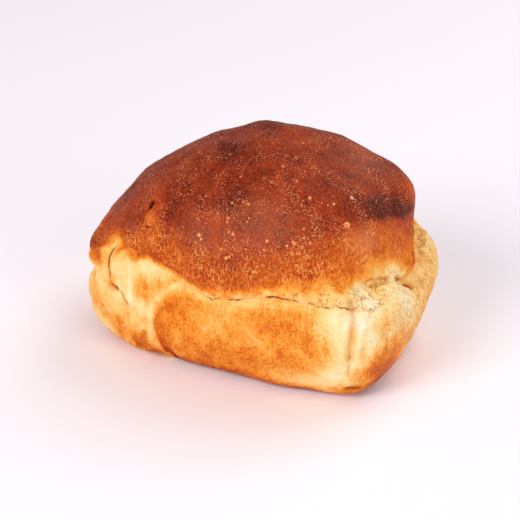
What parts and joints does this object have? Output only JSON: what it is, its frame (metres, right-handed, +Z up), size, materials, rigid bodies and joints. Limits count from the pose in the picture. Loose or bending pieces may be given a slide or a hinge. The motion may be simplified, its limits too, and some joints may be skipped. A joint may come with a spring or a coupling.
{
  "type": "tin loaf",
  "caption": "Small white loaf baked in an open tin: straight tin-baked sides on a flat base, a domed brown crown and a torn pale band round the waist.",
  "frame": {"origin": "middle of the flat base's bounding box, on the surface that the loaf stands on", "axes": "+X along the loaf towards its steeper end, +Y away from the long side shown in the picture, +Z up"},
  "size_m": [0.1734, 0.1126, 0.1151],
  "materials": {
    "crust": "baked crust, satin brown on the crown, golden on the sides, pale and porous where torn"
  },
  "bodies": {
    "root": {"loaf": "crust"}
  },
  "joints": []
}
